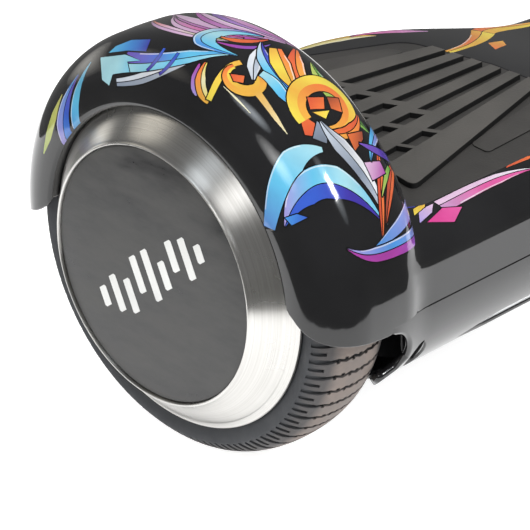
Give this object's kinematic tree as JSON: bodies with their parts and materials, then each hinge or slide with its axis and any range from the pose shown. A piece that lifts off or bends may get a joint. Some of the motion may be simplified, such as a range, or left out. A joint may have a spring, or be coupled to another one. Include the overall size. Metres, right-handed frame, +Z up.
{
  "type": "self balancing hoverboard",
  "caption": "Two-wheeled self-balancing board: twin tilting foot decks on a pivot, hub-motor wheels under wide fenders, gloss black printed shells and ribbed rubber mats.",
  "frame": {"origin": "on the ground, midway between the two wheels, below the middle of the board", "axes": "+X along the wheel axles towards the half with the power button and the charging port, +Y to the rear, -Y to the front with the headlights, +Z up"},
  "size_m": [0.584, 0.1898, 0.1799],
  "materials": {
    "printed_gloss_shell": "high-gloss black ABS with a printed graphic film of coloured swooshes and shards",
    "black_gloss_shell": "gloss black injection-moulded ABS",
    "mat_rubber": "matt dark grey moulded rubber with fine grain",
    "cast_aluminium": "die-cast aluminium, as cast",
    "black_steel": "black oxide steel",
    "tyre_rubber": "solid rubber tyre, dusty brown-grey on the tread",
    "hub_aluminium": "turned aluminium",
    "brushed_steel": "circularly brushed stainless steel",
    "satin_black_plastic": "satin dark grey plastic disc",
    "magnet_nickel": "nickel-plated magnets",
    "core_steel": "laminated electrical steel",
    "copper": "enamelled copper wire",
    "bare_steel": "machined bare steel",
    "bearing_steel": "ground bearing steel with dark seals",
    "circuit_board": "green solder mask with parts",
    "silicone": "translucent white silicone",
    "clear_lens": "clear ribbed polycarbonate",
    "smoked_lens": "smoked polycarbonate",
    "nylon": "natural nylon",
    "seal_rubber": "black soft rubber",
    "battery_wrap": "blue shrink wrap",
    "zinc_steel": "zinc-plated sheet steel",
    "button_plastic": "black button cap with a light ring",
    "bezel_chrome": "bright bezel ring",
    "port_metal": "nickel-plated connector shell"
  },
  "bodies": {
    "left_half": {"upper_shell_left": "printed_gloss_shell", "lower_shell_left": "black_gloss_shell", "foot_mat_left": "mat_rubber", "side_frame_left": "cast_aluminium", "axle_clamp_left": "cast_aluminium", "clamp_screws_left": "black_steel", "stator_left": "core_steel", "windings_left": "copper", "axle_left": "bare_steel", "gyro_board_left": "circuit_board", "headlight_lens_left": "clear_lens", "headlight_board_left": "circuit_board", "status_lens_left": "smoked_lens", "shell_screws_left": "black_steel", "pivot_tube": "bare_steel", "pivot_circlip": "black_steel", "stop_pin": "bare_steel", "centre_seal": "seal_rubber", "battery_pack": "battery_wrap", "battery_bracket": "zinc_steel"},
    "right_half": {"upper_shell_right": "printed_gloss_shell", "lower_shell_right": "black_gloss_shell", "foot_mat_right": "mat_rubber", "side_frame_right": "cast_aluminium", "axle_clamp_right": "cast_aluminium", "clamp_screws_right": "black_steel", "stator_right": "core_steel", "windings_right": "copper", "axle_right": "bare_steel", "gyro_board_right": "circuit_board", "headlight_lens_right": "clear_lens", "headlight_board_right": "circuit_board", "status_lens_right": "smoked_lens", "shell_screws_right": "black_steel", "pivot_bushes": "nylon", "main_board": "circuit_board", "button_bezel": "bezel_chrome", "charge_port": "port_metal", "cover_pin": "bare_steel"},
    "left_wheel": {"tyre_left": "tyre_rubber", "hub_shell_left": "hub_aluminium", "trim_ring_left": "brushed_steel", "hub_cap_left": "satin_black_plastic", "motor_cover_left": "hub_aluminium", "magnet_ring_left": "magnet_nickel", "motor_bearings_left": "bearing_steel"},
    "left_front_plunger": {"front_plunger_left": "silicone"},
    "left_rear_plunger": {"rear_plunger_left": "silicone"},
    "right_wheel": {"tyre_right": "tyre_rubber", "hub_shell_right": "hub_aluminium", "trim_ring_right": "brushed_steel", "hub_cap_right": "satin_black_plastic", "motor_cover_right": "hub_aluminium", "magnet_ring_right": "magnet_nickel", "motor_bearings_right": "bearing_steel"},
    "right_front_plunger": {"front_plunger_right": "silicone"},
    "right_rear_plunger": {"rear_plunger_right": "silicone"},
    "power_button": {"power_button": "button_plastic"},
    "port_cover": {"charge_port_cover": "seal_rubber"}
  },
  "joints": [
    {"name": "half_twist", "type": "hinge", "parent": "left_half", "child": "right_half", "pos_m": [0, 0, 0.075], "axis": [1, 0, 0], "range_deg": [-12, 12]},
    {"name": "left_wheel_spin", "type": "hinge", "parent": "left_half", "child": "left_wheel", "pos_m": [-0.258, 0, 0.085], "axis": [1, 0, 0], "continuous": true},
    {"name": "left_front_plunger_press", "type": "slide", "parent": "left_half", "child": "left_front_plunger", "axis": [0, 0, -1], "range_m": [0, 0.002], "stiffness_N_per_m": 900},
    {"name": "left_rear_plunger_press", "type": "slide", "parent": "left_half", "child": "left_rear_plunger", "axis": [0, 0, -1], "range_m": [0, 0.002], "stiffness_N_per_m": 900},
    {"name": "right_wheel_spin", "type": "hinge", "parent": "right_half", "child": "right_wheel", "pos_m": [0.258, 0, 0.085], "axis": [1, 0, 0], "continuous": true},
    {"name": "right_front_plunger_press", "type": "slide", "parent": "right_half", "child": "right_front_plunger", "axis": [0, 0, -1], "range_m": [0, 0.002], "stiffness_N_per_m": 900},
    {"name": "right_rear_plunger_press", "type": "slide", "parent": "right_half", "child": "right_rear_plunger", "axis": [0, 0, -1], "range_m": [0, 0.002], "stiffness_N_per_m": 900},
    {"name": "power_button_press", "type": "slide", "parent": "right_half", "child": "power_button", "axis": [0, -1, 0], "range_m": [0, 0.0012], "stiffness_N_per_m": 700},
    {"name": "port_cover_hinge", "type": "hinge", "parent": "right_half", "child": "port_cover", "pos_m": [0.164, 0.0892, 0.0742], "axis": [1, 0, 0], "range_deg": [0, 95]}
  ]
}
